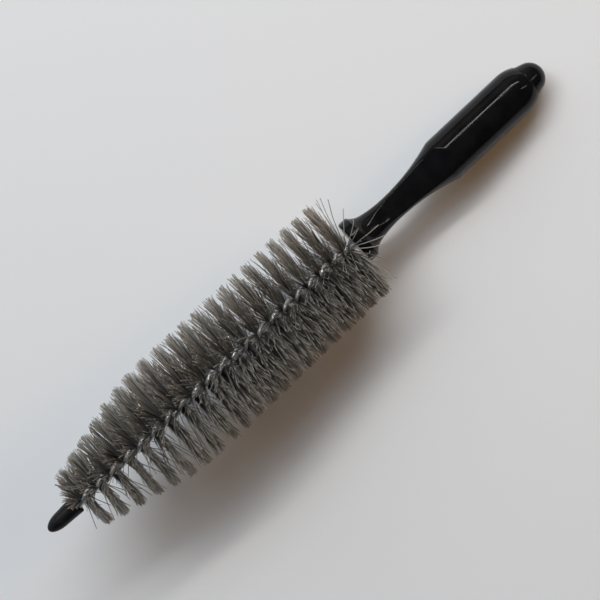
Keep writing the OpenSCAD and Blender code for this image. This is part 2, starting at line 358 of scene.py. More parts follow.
def split_vector(tree, vector):
    """The three values of a vector."""
    return add_node(tree, "ShaderNodeSeparateXYZ", {0: vector}).outputs


def vector_calc(tree, operation, first, second):
    """The result of a Vector Math node."""
    return add_node(tree, "ShaderNodeVectorMath", {0: first, 1: second}, operation=operation).outputs[0]


def around(tree, station, radius, angle):
    """A place at a station along the axis, at a radius and angle around it."""
    across, up = (calc(tree, "MULTIPLY", radius, calc(tree, kind, angle)) for kind in ("COSINE", "SINE"))
    return join_vector(tree, station, across, up)


def store_value(tree, geometry, name, value):
    """Geometry with a named number on its points."""
    values = {"Geometry": geometry, "Name": name, "Value": value}
    kind = "GeometryNodeStoreNamedAttribute"
    return add_node(tree, kind, values, data_type="FLOAT", domain="POINT").outputs[0]


def shape_tree(name, inputs):
    """A Geometry Nodes tree with named inputs. Returns it with its input node's sockets by name.

    An input's kind follows its value, and a material's value is None.
    """
    tree = bpy.data.node_groups.new(name, "GeometryNodeTree")
    for label, value in inputs.items():
        socket = tree.interface.new_socket(label, in_out="INPUT", socket_type=SOCKET_KINDS[type(value)])
        if value is not None:
            socket.default_value = value
    tree.interface.new_socket("Geometry", in_out="OUTPUT", socket_type="NodeSocketGeometry")
    return tree, tree.nodes.new("NodeGroupInput").outputs


def unit_line(tree, points):
    """A line from 0 to 1 with a number of points."""
    line = add_node(tree, "GeometryNodeCurvePrimitiveLine", {"End": (1, 0, 0)}).outputs[0]
    return add_node(tree, "GeometryNodeResampleCurve", {"Curve": line, "Count": points}).outputs[0]


def rod(tree, curves, radius, sides):
    """Closed rods along curves."""
    values = {"Resolution": sides, "Radius": radius}
    section = add_node(tree, "GeometryNodeCurvePrimitiveCircle", values).outputs[0]
    values = {"Curve": curves, "Profile Curve": section, "Fill Caps": True}
    return add_node(tree, "GeometryNodeCurveToMesh", values).outputs[0]


def end_tree(tree, geometry, material):
    """Realize Instances and Set Material, and the tree's output."""
    real = add_node(tree, "GeometryNodeRealizeInstances", {"Geometry": geometry})
    smooth = add_node(tree, "GeometryNodeSetShadeSmooth", {"Geometry": real.outputs[0], "Shade Smooth": True})
    painted = add_node(tree, "GeometryNodeSetMaterial", {"Geometry": smooth.outputs[0], "Material": material})
    add_node(tree, "NodeGroupOutput", {0: painted.outputs[0]})


def grow(name, tree, values):
    """A plain mesh piece from a Geometry Nodes tree with its inputs set."""
    piece = new_piece(name, bpy.data.meshes.new(name))
    modifier = piece.modifiers.new(tree.name, "NODES")
    modifier.node_group = tree
    for item in tree.interface.items_tree:
        if item.in_out == "INPUT" and item.name in values:
            modifier[item.identifier] = values[item.name]
    graph = bpy.context.evaluated_depsgraph_get()
    made = bpy.data.meshes.new_from_object(piece.evaluated_get(graph), depsgraph=graph)
    piece.modifiers.clear()
    piece.data = made
    made.name = name
    return piece


# Meshes


def new_piece(name, mesh):
    """An object of a mesh, in the scene."""
    piece = bpy.data.objects.new(name, mesh)
    bpy.context.scene.collection.objects.link(piece)
    return piece


def settle(piece, slot, *nodes):
    """Puts a piece on the body, in place of CAD nodes. Its finish slot argument is not used."""
    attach(piece, BODY)
    if nodes:
        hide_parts(*nodes)


def loft(name, rings, ends):
    """A closed mesh through equal rings. Its ends are joined in a loop, or close on one point each."""
    count = len(rings[0])
    points = [tuple(p) for ring in rings for p in ring]
    last = len(rings) - 1
    faces = []
    steps = len(rings) if ends == "loop" else last
    for i in range(steps):
        a, b = i * count, ((i + 1) % len(rings)) * count
        faces += [(a + j, a + (j + 1) % count, b + (j + 1) % count, b + j) for j in range(count)]
    if ends == "poles":
        for ring, flip in ((0, False), (last, True)):
            pole = len(points)
            points.append(tuple(np.mean(rings[ring], axis=0)))
            side = [(ring * count + j, ring * count + (j + 1) % count, pole) for j in range(count)]
            faces += [face if flip else face[::-1] for face in side]
    mesh = bpy.data.meshes.new(name)
    mesh.from_pydata(points, [], faces)
    face_out(mesh)
    mesh.shade_smooth()
    mesh.set_sharp_from_angle(angle=math.radians(38))
    return new_piece(name, mesh)


def smooth_path(corners, steps):
    """Points on a smooth curve through the corners."""
    ends = [corners[0] * 2 - corners[1], *corners, corners[-1] * 2 - corners[-2]]
    path = []
    for a, b, c, d in zip(ends, ends[1:], ends[2:], ends[3:]):
        for t in np.linspace(0, 1, steps, endpoint=False):
            square, cube = a * 2 - b * 5 + c * 4 - d, b * 3 - a - c * 3 + d
            path.append((b * 2 + (c - a) * t + square * t**2 + cube * t**3) / 2)
    return [*path, corners[-1]]


def add_tube(points, faces, path, radius):
    """Adds a closed five-sided tube along a path to lists of points and faces."""
    sides = 5
    first = len(points)
    for i, spot in enumerate(path):
        along = (path[min(i + 1, len(path) - 1)] - path[max(i - 1, 0)]).normalized()
        right = along.cross(Vector((0.31, 0.83, 0.46))).normalized()
        up = along.cross(right)
        for j in range(sides):
            turn = 2 * math.pi * j / sides
            points.append(tuple(spot + (right * math.cos(turn) + up * math.sin(turn)) * radius))
    for i in range(len(path) - 1):
        a = first + i * sides
        for j in range(sides):
            k = (j + 1) % sides
            faces.append((a + j, a + k, a + sides + k, a + sides + j))
    last = first + (len(path) - 1) * sides
    faces.append(tuple(first + j for j in reversed(range(sides))))
    faces.append(tuple(last + j for j in range(sides)))


def face_out(mesh):
    """Turns every face round if the closed mesh is inside out."""
    mesh.calc_loop_triangles()
    corners = np.array([[mesh.vertices[i].co for i in t.vertices] for t in mesh.loop_triangles])
    volume = np.einsum("ij,ij->i", corners[:, 0], np.cross(corners[:, 1], corners[:, 2])).sum()
    if volume < 0:
        mesh.flip_normals()


def blend_min(a, b, soft):
    """The smaller of two values, with a soft change from one to the other."""
    return np.minimum(a, b) - np.maximum(soft - np.abs(a - b), 0) ** 2 / (4 * soft)


def ring_at(x, radius, angles):
    """Points around the axis."""
    return np.column_stack([np.full(len(angles), x), radius * np.cos(angles), radius * np.sin(angles)])


def revolve(name, profile, angles):
    """A closed round piece from (x, radius) points that run from one pole to the other."""
    return loft(name, [ring_at(x, r, angles) for x, r in profile], "poles")


def arc(centre_x, centre_r, radius, start, stop, steps):
    """Profile points on an arc, between two angles in degrees from the X axis."""
    return [
        (centre_x + radius * math.cos(math.radians(a)), centre_r + radius * math.sin(math.radians(a)))
        for a in np.linspace(start, stop, steps)
    ]


def arc_drop(radius, away):
    """How far an arc falls from its top, at a distance from it."""
    return radius - math.sqrt(max(radius**2 - away**2, 0))


def arc_radius(run, rise):
    """Radius of an arc that rises over a run, starting level."""
    return (run**2 + rise**2) / (2 * rise)


# Materials


def new_material(name, colour, roughness, metallic=0.0, specular=0.5):
    """A material with a Principled surface."""
    material = bpy.data.materials.new(name)
    material.use_nodes = True
    tree = material.node_tree
    surface = tree.nodes["Principled BSDF"]
    surface.inputs["Base Color"].default_value = (*colour, 1)
    surface.inputs["Roughness"].default_value = roughness
    surface.inputs["Metallic"].default_value = metallic
    surface.inputs["Specular IOR Level"].default_value = specular
    return material, tree, surface


def object_noise(tree, scale, detail=2.0, stretch=(1, 1, 1), roughness=0.5):
    """Noise on Object coordinates."""
    place = add_node(tree, "ShaderNodeTexCoord").outputs["Object"]
    mapped = add_node(tree, "ShaderNodeMapping", {"Vector": place, "Scale": stretch}).outputs[0]
    values = {"Vector": mapped, "Scale": scale, "Detail": detail, "Roughness": roughness}
    return add_node(tree, "ShaderNodeTexNoise", values).outputs["Fac"]


def spread_value(tree, source, low, high, from_low=0.3, from_high=0.7):
    """A value spread from one range to another."""
    values = {"Value": source, "From Min": from_low, "From Max": from_high, "To Min": low, "To Max": high}
    return add_node(tree, "ShaderNodeMapRange", values).outputs[0]


def mix_colour(tree, factor, first, second):
    """A mix of two colours."""
    node = add_node(tree, "ShaderNodeMix", data_type="RGBA")
    feed(tree, node.inputs[0], factor)
    for socket, colour in ((node.inputs[6], first), (node.inputs[7], second)):
        feed(tree, socket, colour if isinstance(colour, bpy.types.NodeSocket) else (*colour, 1))
    return node.outputs[2]


def mottle(tree, surface, source, colour, other):
    """Base colour that changes between two colours with a noise."""
    mixed = mix_colour(tree, spread_value(tree, source, 0, 1), colour, other)
    feed(tree, surface.inputs["Base Color"], mixed)


def add_bump(tree, surface, height, depth, strength=1.0):
    """Bump on the surface, with its depth in metres."""
    values = {"Height": height, "Distance": depth, "Strength": strength}
    feed(tree, surface.inputs["Normal"], add_node(tree, "ShaderNodeBump", values).outputs[0])


def handle_plastic(settings):
    """Gloss black moulded plastic with faint flow marks and fine scratches."""
    colour = tuple(settings.colour)
    material, tree, surface = new_material("handle gloss black", colour, settings.roughness, specular=0.2)
    cloudy = object_noise(tree, 90, 3)
    scratches = object_noise(tree, 260, 4, stretch=(0.15, 1, 1), roughness=0.7)
    rubbed = calc(tree, "MULTIPLY", spread_value(tree, scratches, 0, 1, 0.52, 0.7), 0.1)
    dull = spread_value(tree, cloudy, settings.roughness * 0.7, settings.roughness * 1.4)
    feed(tree, surface.inputs["Roughness"], calc(tree, "ADD", dull, rubbed))
    mottle(tree, surface, cloudy, colour, tuple(c * 1.8 + 0.001 for c in colour))
    add_bump(tree, surface, object_noise(tree, 420, 2), 0.02 * MM, 0.5)
    return material


def cap_rubber(settings):
    """Soft satin black cap with a fine grain."""
    colour = tuple(settings.colour)
    material, tree, surface = new_material("cap satin black", colour, 0.45, specular=0.3)
    grain = object_noise(tree, 2600, 2)
    cloudy = object_noise(tree, 240, 3)
    feed(tree, surface.inputs["Roughness"], spread_value(tree, cloudy, 0.36, 0.52))
    mottle(tree, surface, cloudy, colour, tuple(c * 1.8 + 0.001 for c in colour))
    add_bump(tree, surface, grain, 0.03 * MM, 0.6)
    return material


def filament_plastic(settings):
    """Smooth plastic filament whose shade changes from one filament to the next, and along each one with the
    painted root shade and tip highlight that the rows store.
    """
    dark, light = tuple(settings.colour_dark), tuple(settings.colour_light)
    material, tree, surface = new_material("filament warm grey", dark, 0.35)
    shade = add_node(tree, "ShaderNodeAttribute", attribute_name="shade").outputs["Fac"]
    cloudy = object_noise(tree, 900, 2)
    mixed = calc(tree, "MULTIPLY_ADD", spread_value(tree, cloudy, -0.5, 0.5), 0.3, shade)
    feed(tree, surface.inputs["Base Color"], mix_colour(tree, mixed, dark, light))
    feed(tree, surface.inputs["Roughness"], spread_value(tree, cloudy, 0.26, 0.42))
    return material


def drawn_steel(name, colour, roughness, metallic):
    """Drawn steel with fine streaks and slightly dull patches."""
    material, tree, surface = new_material(name, colour, roughness, metallic)
    streaks = object_noise(tree, 1500, 3, stretch=(0.3, 1, 1))
    cloudy = object_noise(tree, 300, 3)
    feed(tree, surface.inputs["Roughness"], spread_value(tree, cloudy, roughness - 0.07, roughness + 0.12))
    mottle(tree, surface, streaks, colour, tuple(c * 0.72 for c in colour))
    add_bump(tree, surface, streaks, 0.02 * MM, 0.5)
    return material


def floor_paper(settings):
    """Plain matte floor."""
    colour = tuple(settings.floor_colour)
    material, tree, surface = new_material("floor matte", colour, 0.8, specular=0.2)
    cloudy = object_noise(tree, 3, 2)
    mottle(tree, surface, cloudy, colour, tuple(c * 0.985 for c in colour))
    return material


# Geometry Nodes trees


def filament_tree():
    """Filaments that stand out on both sides of the wires, along one half turn of the twist."""
    tree, sockets = shape_tree(
        "Filament row",
        {
            "Filaments": 500,
            "Row Start": 0.0,
            "Row End": 0.01,
            "Start Radius": 0.03,
            "End Radius": 0.03,
            "Half Turns Before": 0.0,
            "Core Radius": 0.0005,
            "Thickness": 0.0004,
            "Pinch": 0.5,
            "Spread": 0.003,
            "Clumping": 0.001,
            "Splay": 0.1,
            "Droop": 0.3,
            "Top Spread": 1.5,
            "Wave": 0.0005,
            "Strays": 0.05,
            "Stray Lean": 0.01,
            "Curl": 0.002,
            "Floor Height": -0.034,
            "Floor Slope": 0.0,
            "Seed": 1,
            "Material": None,
        },
    )
    math_of, node_of = partial(calc, tree), partial(add_node, tree)
    times, plus, minus, times_plus = (partial(calc, tree, kind) for kind in ARITHMETIC)
    vector_of, join = partial(vector_calc, tree), partial(join_vector, tree)
    count, seed = sockets["Filaments"], sockets["Seed"]
    points = node_of("GeometryNodePoints", {"Count": count}).outputs[0]
    index = node_of("GeometryNodeInputIndex").outputs[0]
    marked = store_value(tree, points, "number", index)
    stem = unit_line(tree, STEM_POINTS)
    copies = node_of("GeometryNodeInstanceOnPoints", {"Points": marked, "Instance": stem}).outputs[0]
    curves = node_of("GeometryNodeRealizeInstances", {"Geometry": copies}).outputs[0]
    named = node_of("GeometryNodeInputNamedAttribute", {"Name": "number"}, data_type="FLOAT")
    number = named.outputs["Attribute"]
    share = node_of("GeometryNodeSplineParameter").outputs["Factor"]

    def chance(draw):
        """A random number for each filament."""
        salt, low, high = DRAWS[draw]
        node = node_of("FunctionNodeRandomValue", data_type="FLOAT")
        feed(tree, node.inputs[2], low)
        feed(tree, node.inputs[3], high)
        feed(tree, node.inputs["ID"], number)
        feed(tree, node.inputs["Seed"], plus(seed, salt))
        return node.outputs[1]

    def drift(x, y, z, scale):
        """Smooth noise from -0.5 to 0.5 on all three axes."""
        spot = join(x, y, z)
        noise = node_of("ShaderNodeTexNoise", {"Vector": spot, "Scale": scale, "Detail": 1.0})
        return vector_of("SUBTRACT", noise.outputs["Color"], (0.5, 0.5, 0.5))

    # place along the half turn, side of the wires, and length
    along = math_of("DIVIDE", plus(number, chance("place")), count)
    side = math_of("FLOORED_MODULO", number, 2)
    row_width = minus(sockets["Row End"], sockets["Row Start"])
    from_middle = times(minus(along, 0.5), row_width)
    middle = times_plus(row_width, 0.5, sockets["Row Start"])
    root = times_plus(from_middle, sockets["Pinch"], middle)
    outer = plus(from_middle, middle)
    turns = plus(sockets["Half Turns Before"], along)
    angle = times_plus(turns, -math.pi, math.pi / 2)
    angle = times_plus(side, math.pi, angle)
    bend = plus(chance("turn"), chance("more turn"))
    angle = times_plus(bend, sockets["Splay"], angle)
    on_top = math_of("MAXIMUM", math_of("SINE", angle), 0)
    droop = times(on_top, chance("droop"))
    angle = times_plus(droop, sockets["Droop"], angle)
    grow_r = minus(sockets["End Radius"], sockets["Start Radius"])
    reach = times_plus(grow_r, along, sockets["Start Radius"])
    short = math_of("POWER", chance("shortness"), SHORT_FEW)
    reach = times(reach, times_plus(short, -SHORTEST, 1.0))
    reach = times(reach, chance("length"))

    # lean along the brush: alone, with its neighbours, or far out of the row
    lean = plus(chance("lean"), chance("more lean"))
    lean = times(lean, sockets["Spread"])
    lean = times(lean, times_plus(on_top, sockets["Top Spread"], 1.0))
    group = drift(times(along, GROUPS), times(side, SIDES_APART), seed, GROUP_SCALE)
    groups = split_vector(tree, group)
    lean = times_plus(times(groups["X"], GROUP_PULL), sockets["Clumping"], lean)
    stray = math_of("LESS_THAN", chance("stray"), sockets["Strays"])
    far = times(times(stray, chance("stray lean")), sockets["Stray Lean"])
    lean = plus(lean, far)
    angle = times_plus(times(stray, chance("stray turn")), STRAY_TURN, angle)
    far_share = math_of("DIVIDE", far, reach)
    shorter = math_of("SQRT", times_plus(times(far_share, far_share), -1, 1))
    reach = times(reach, shorter)
    core = sockets["Core Radius"]
    radius = times_plus(minus(reach, core), share, core)
    tip = plus(outer, lean)
    station = times_plus(minus(tip, root), share, root)

    # a slight wave, and a hooked end on a few
    bends = times(share, WAVE_BENDS)
    wave = drift(times(number, WAVES_APART), bends, times(seed, WAVE_SEED), 1.0)
    swing = times(times(share, sockets["Wave"]), WAVE_PULL)
    wander = node_of("ShaderNodeVectorMath", {0: wave, "Scale": swing}, operation="SCALE").outputs[0]
    hooked = times(math_of("POWER", chance("hook"), HOOK_FEW), sockets["Curl"])
    station = times_plus(hooked, math_of("POWER", share, HOOK_TURN), station)
    spot = vector_of("ADD", around(tree, station, radius, angle), wander)

    # what would go below the floor lies on it
    parts = split_vector(tree, spot)
    floor = times_plus(parts["X"], sockets["Floor Slope"], sockets["Floor Height"])
    lowest = plus(plus(floor, sockets["Thickness"]), chance("rest"))
    spot = join(parts["X"], parts["Y"], math_of("MAXIMUM", parts["Z"], lowest))
    placed = node_of("GeometryNodeSetPosition", {"Geometry": curves, "Position": spot}).outputs[0]
    # paler tips, partly the cut ends' own colour and partly a painted highlight, and painted shade darkening
    # the roots
    shade = times_plus(math_of("POWER", share, TIP_FADE), TIP_PALE_AND_HIGHLIGHT, chance("shade"))
    inner = math_of("POWER", minus(1, share), ROOT_FADE)
    shade = times_plus(inner, ROOT_PAINTED_SHADE, shade)
    shaded = store_value(tree, placed, "shade", shade)
    half = times(sockets["Thickness"], 0.5)
    end_tree(tree, rod(tree, shaded, half, FILAMENT_SIDES), sockets["Material"])
    return tree


def wire_tree():
    """One wire, wound around the axis beside the filaments."""
    tree, sockets = shape_tree(
        "Twisted wire",
        {
            "Points": 300,
            "Front Half Turns": -1.0,
            "Back Half Turns": 22.0,
            "Head Start": 0.0,
            "Head Length": 0.2,
            "Rows": 21.0,
            "Tighten": 0.09,
            "Offset": 0.0015,
            "Wire Radius": 0.0013,
            "Turn": math.pi / 2,
            "Material": None,
        },
    )
    math_of, node_of = partial(calc, tree), partial(add_node, tree)
    times, plus, minus, times_plus = (partial(calc, tree, kind) for kind in ARITHMETIC)
    stem = unit_line(tree, sockets["Points"])
    share = node_of("GeometryNodeSplineParameter").outputs["Factor"]
    front, back = sockets["Front Half Turns"], sockets["Back Half Turns"]
    turns = times_plus(minus(back, front), share, front)
    part = math_of("DIVIDE", turns, sockets["Rows"])
    tighten = sockets["Tighten"]
    gain = times(plus(tighten, 1), part)
    loss = times(times(part, part), tighten)
    run = minus(gain, loss)
    station = times_plus(run, sockets["Head Length"], sockets["Head Start"])
    angle = times_plus(turns, -math.pi, math.pi / 2)
    angle = plus(angle, sockets["Turn"])
    spot = around(tree, station, sockets["Offset"], angle)
    placed = node_of("GeometryNodeSetPosition", {"Geometry": stem, "Position": spot}).outputs[0]
    end_tree(tree, rod(tree, placed, sockets["Wire Radius"], WIRE_SIDES), sockets["Material"])
    return tree


# Operators


class WHEELBRUSH_OT_filaments(bpy.types.Operator):
    """Grow the rows of filaments, one piece for each half turn of the twist"""

    bl_idname = "wheelbrush.filaments"
    bl_label = "Filament rows"

    def execute(self, context):
        settings = context.scene.wheel_brush.filaments
        slope = context.scene.wheel_brush.stage.floor_slope
        tree = filament_tree()
        material = filament_plastic(settings)
        widest = max(ROW_RADII)
        same = {label: getattr(settings, label.lower().replace(" ", "_")) for label in SAME_INPUTS}
        for i, node in enumerate(ROW_NODES):
            start, end = row_place(i), row_place(i + 1)
            fill = TIP_FILL + (1 - TIP_FILL) * ROW_RADII[i] / widest
            loose = min(max((i - STIFF_ROWS) / LOOSENING_ROWS, LEAST_LOOSE), 1)
            values = {
                "Filaments": int(settings.count * fill * (end - start) / FIRST_ROW),
                "Row Start": start,
                "Row End": end,
                "Start Radius": head_radius(start),
                "End Radius": head_radius(end),
                "Half Turns Before": float(i),
                "Core Radius": CORE_R * CORE_SHARE,
                "Clumping": settings.clump,
                "Droop": settings.droop * loose,
                "Top Spread": TOP_SPREAD * loose,
                "Floor Height": floor_height(slope),
                "Floor Slope": slope,
                "Seed": FIRST_SEED + SEED_STEP * i,
                "Material": material,
                **same,
            }
            row = grow(node.replace("row", "tufts"), tree, values)
            if not row.data.polygons:
                raise RuntimeError(f"{row.name} has no filaments")
            settle(row, "filament_grey", node)
        return {"FINISHED"}


class WHEELBRUSH_OT_loose(bpy.types.Operator):
    """Lay the loose filaments that lean over the collar"""

    bl_idname = "wheelbrush.loose"
    bl_label = "Loose filaments"

    def execute(self, context):
        settings = context.scene.wheel_brush.filaments
        points, faces, shades = [], [], []
        for number, path in enumerate(LOOSE_PATHS):
            add_tube(points, faces, smooth_path([Vector(p) * MM for p in path], 9), settings.thickness / 2)
            shades += [0.55 + 0.45 * (number % 3) / 2] * (len(points) - len(shades))
        mesh = bpy.data.meshes.new("filament_loose_ends")
        mesh.from_pydata(points, [], faces)
        mesh.attributes.new("shade", "FLOAT", "POINT").data.foreach_set("value", shades)
        face_out(mesh)
        mesh.shade_smooth()
        loose = new_piece("filament_loose_ends", mesh)
        mesh.materials.append(bpy.data.materials.get("filament warm grey") or filament_plastic(settings))
        settle(loose, "filament_grey")
        return {"FINISHED"}


class WHEELBRUSH_OT_wires(bpy.types.Operator):
    """Twist the two steel wires"""

    bl_idname = "wheelbrush.wires"
    bl_label = "Twisted wires"

    def execute(self, context):
        settings = context.scene.wheel_brush.wires
        tree = wire_tree()
        material = drawn_steel("wire drawn steel", settings.colour, settings.roughness, settings.metallic)
        front, back = half_turns(WIRE_BOX[0].x), half_turns(WIRE_BOX[1].x)
        radius = settings.diameter / 2
        for node, turn in (("wire_strand_1", math.pi / 2), ("wire_strand_2", -math.pi / 2)):
            values = {
                "Points": int((back - front) / 2 * settings.points),
                "Front Half Turns": front,
                "Back Half Turns": back,
                "Head Start": HEAD_START,
                "Head Length": HEAD_LEN,
                "Rows": float(ROWS),
                "Tighten": TIGHTEN,
                "Offset": CORE_R - radius,
                "Wire Radius": radius,
                "Turn": turn,
                "Material": material,
            }
            wire = grow(node.replace("strand", "twist"), tree, values)
            if not wire.data.polygons:
                raise RuntimeError(f"{wire.name} is empty")
            settle(wire, "wire_steel", node)
        return {"FINISHED"}


class WHEELBRUSH_OT_cap(bpy.types.Operator):
    """Turn the bullet-shaped tip cap"""

    bl_idname = "wheelbrush.cap"
    bl_label = "Tip cap"

    def execute(self, context):
        settings = context.scene.wheel_brush.cap
        tip, mouth = CAP_BOX[0].x, CAP_BOX[1].x
        mouth_r = CAP_BOX[1].y
        nose_r = mouth_r - settings.taper
        hole_r = CORE_R + CLEARANCE
        lip, body = settings.lip, tip + settings.nose
        nose = [
            (tip + settings.nose * (1 - math.cos(a)), nose_r * math.sin(a))
            for a in np.linspace(0.06, math.pi / 2, 22)
        ]
        sides = [
            (body + (mouth - lip - body) * t, nose_r + settings.taper * t) for t in np.linspace(0.1, 1, 10)
        ]
        edge = arc(mouth - lip, mouth_r - lip, lip, 78, 0, 6)
        inside = arc(mouth - lip, hole_r + lip, lip, 0, -90, 6)
        hole = [(mouth - settings.hole, hole_r), (mouth - settings.hole, hole_r * 0.1)]
        around = np.linspace(0, 2 * math.pi, 72, endpoint=False)
        cap = revolve("tip_cap_moulding", nose + sides + edge + inside + hole, around)
        cap.data.materials.append(cap_rubber(settings))
        settle(cap, "cap_black", "tip_cap")
        return {"FINISHED"}


class WHEELBRUSH_OT_handle(bpy.types.Operator):
    """Mould the handle with its collar, hollowed waist, grip and shoulder"""

    bl_idname = "wheelbrush.handle"
    bl_label = "Handle"

    def execute(self, context):
        settings = context.scene.wheel_brush.handle
        face, rear = BODY_BOX[0].x, BODY_BOX[1].x
        length = rear - face
        bore_r, cavity_r = CORE_R + CLEARANCE, settings.cavity_width / 2
        cavity_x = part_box("anchor_washer")[0].x
        rings = []
        for d in self.stations(length, settings):
            radius = self.outline(d, length, settings)
            hollow = self.hollow(d, settings)
            angles = self.angles(hollow, radius)
            across = np.minimum(hollow / np.maximum(np.abs(np.tan(angles)), 1e-3), radius)
            crown = settings.crown_rise - across**2 / (2 * settings.crown)
            level = (hollow + crown) / np.maximum(np.abs(np.sin(angles)), 1e-3)
            reach = blend_min(np.full(len(angles), radius), level, settings.crease)
            rings.append(ring_at(face + d, reach, angles))
        angles = self.angles(1.0, 0.01)
        flat_r = settings.shoulder_width / 2 - settings.shoulder_round
        lip = [ring_at(rear, flat_r, angles), ring_at(rear, cavity_r, angles)]
        inside = [ring_at(cavity_x, cavity_r, angles), ring_at(cavity_x, bore_r, angles)]
        front_r = BODY_BOX[1].y - settings.rim_round
        front = [ring_at(face, bore_r, angles), ring_at(face, front_r * 0.98, angles)]
        handle = loft("handle_moulding", rings + lip + inside + front, "loop")
        handle.data.materials.append(handle_plastic(settings))
        settle(handle, "handle_black", "handle_body")
        return {"FINISHED"}

    def stations(self, length, settings):
        """Distances of the rings from the collar face, close together where the shape turns."""
        scan = np.arange(0, length, SCAN_STEP)
        over = [self.hollow(d, settings) > self.outline(d, length, settings) for d in scan]
        ends = [scan[i] for i in range(1, len(scan)) if over[i] != over[i - 1]]
        turns = [settings.rim_round, settings.rim_width, length - settings.shoulder]
        places = list(np.arange(0, length, RING_STEP)) + [length]
        for turn in ends + turns:
            places += [turn + side * CREASE_ZONE * t**2 for t in np.linspace(0, 1, 22) for side in (-1, 1)]
        places += list(np.linspace(0, settings.rim_round, 12))
        places += list(np.linspace(length - settings.shoulder_round, length, 8))
        places = sorted(p for p in places if 0 <= p <= length)
        kept = [places[0]]
        for place in places[1:]:
            if place - kept[-1] > RING_GAP:
                kept.append(place)
        kept[-1] = length
        return kept

    def outline(self, d, length, settings):
        """Radius of the round outline at a distance from the collar face."""
        collar_r, grip_r, neck_r = BODY_BOX[1].y, settings.grip_width / 2, settings.neck_width / 2
        narrow, grip_at = settings.neck_width_at, settings.neck_length
        grip_end = length - settings.shoulder
        if d >= grip_end:
            shoulder_r = settings.shoulder_width / 2
            shoulder = arc_radius(settings.shoulder, grip_r - shoulder_r)
            radius = grip_r - arc_drop(shoulder, d - grip_end)
            fall = settings.shoulder_round - (length - d)
            if fall > 0:
                radius = min(radius, shoulder_r - arc_drop(settings.shoulder_round, fall))
            return radius
        if d >= narrow:
            waist = arc_radius(grip_at - narrow, grip_r - neck_r)
            beyond = min(d - narrow, waist * ARC_LIMIT)
            return float(blend_min(grip_r, neck_r + arc_drop(waist, beyond), settings.crease))
        rim = collar_r
        if d < settings.rim_round:
            rim = collar_r - arc_drop(settings.rim_round, settings.rim_round - d)
        # the flare touches the waist arc and runs out at the rim
        waist = settings.waist_ease * arc_radius(narrow - settings.rim_width, collar_r - neck_r)
        centre = np.array([neck_r + waist, narrow])
        away = np.array([collar_r, settings.rim_width]) - centre
        gap = np.linalg.norm(away)
        reach = waist - settings.flare
        along = (reach**2 - settings.flare**2 + gap**2) / (2 * gap)
        unit = away / gap
        flare = centre + unit * along + math.sqrt(reach**2 - along**2) * np.array([unit[1], -unit[0]])
        touch = flare[1] - settings.flare * (narrow - flare[1]) / reach
        if d > touch:
            side = neck_r + arc_drop(waist, narrow - d)
        elif d > flare[1] - settings.flare * ARC_LIMIT:
            side = flare[0] - math.sqrt(settings.flare**2 - (d - flare[1]) ** 2)
        else:
            side = 1.0
        return float(blend_min(rim, side, settings.crease))

    def hollow(self, d, settings):
        """Height of the hollows on the upper and lower faces at a distance from the collar face."""
        thin, thin_at = settings.neck_depth / 2, settings.neck_depth_at
        if d < thin_at:
            run = thin_at - settings.rim_width - settings.rim_round
            curve = arc_radius(run, settings.hollow_foot - thin)
        else:
            run = settings.neck_length + settings.hollow_run - thin_at
            curve = arc_radius(run, settings.grip_width / 2 - thin)
        return thin + arc_drop(curve, min(abs(d - thin_at), curve * ARC_LIMIT))

    def angles(self, hollow, radius):
        """Angles of a ring's points, with one on each crease and more beside it."""
        crease = math.asin(min(hollow / radius, 0.9999))
        side = [crease * (1 - (1 - t) ** 1.8) for t in np.linspace(0, 1, 17)]
        top = [crease + (math.pi / 2 - crease) * t**1.5 for t in np.linspace(0, 1, 14)[1:]]
        quarter = side + top
        half = quarter + [math.pi - a for a in quarter[::-1][1:]]
        return np.array(half + [a + math.pi for a in half[1:-1]])


class WHEELBRUSH_OT_plug(bpy.types.Operator):
    """Turn the domed end plug with its spigot and pry notch"""

    bl_idname = "wheelbrush.plug"
    bl_label = "End plug"

    def execute(self, context):
        settings = context.scene.wheel_brush.handle
        seam, spigot_end, end = BODY_BOX[1].x, PLUG_BOX[0].x, PLUG_BOX[1].x
        foot_r, taper = settings.plug_width / 2, settings.plug_taper
        # the side is a cone that runs out into a ball
        ball_at = (end - seam - foot_r * math.cos(taper)) / (1 - math.sin(taper))
        ball_r = end - seam - ball_at
        steep = 90 - math.degrees(taper)
        spigot_r = settings.cavity_width / 2 - CLEARANCE
        inner_r, inner_ball_r = spigot_r - settings.plug_wall, ball_r - settings.plug_wall
        inner_end = math.degrees(math.asin(min(inner_r / inner_ball_r, 1)))
        foot = PLUG_FOOT
        dome = arc(seam + ball_at, 0, ball_r, 2, steep, 30)
        cone_end = dome[-1]
        side = [
            (cone_end[0] + (seam + foot - cone_end[0]) * t, cone_end[1] + (foot_r - cone_end[1]) * t)
            for t in np.linspace(0, 1, 14)[1:-1]
        ]
        fillet = arc(seam + foot, foot_r - foot, foot, steep, 180, 6)
        spigot = [
            (seam, spigot_r),
            (spigot_end + foot, spigot_r),
            (spigot_end, spigot_r - foot),
            (spigot_end, inner_r),
        ]
        hollow = arc(seam + ball_at, 0, inner_ball_r, inner_end, 4, 12)
        angles = np.linspace(0, 2 * math.pi, 96, endpoint=False)
        notch_side = math.pi + np.linspace(-0.28, 0.28, 36)
        angles = np.sort(np.concatenate([angles[np.abs(angles - math.pi) > 0.29], notch_side]))
        plug = revolve("end_plug_moulding", dome + side + fillet + spigot + hollow, angles)
        for vertex in plug.data.vertices:
            x, y, z = vertex.co
            if x > seam - 0.1 * MM and math.hypot(y, z) > spigot_r * 0.8:
                turn = math.atan2(z, -y)
                edge = math.exp(-((turn / NOTCH_TURN) ** 6) - ((x - seam) / NOTCH_RUN) ** 6)
                depth = 1 - NOTCH_DEPTH * edge
                if math.hypot(y, z) * depth > inner_r:
                    vertex.co = (x, y * depth, z * depth)
        material = bpy.data.materials.get("handle gloss black") or handle_plastic(settings)
        plug.data.materials.append(material)
        settle(plug, "handle_black", "end_plug")
        return {"FINISHED"}


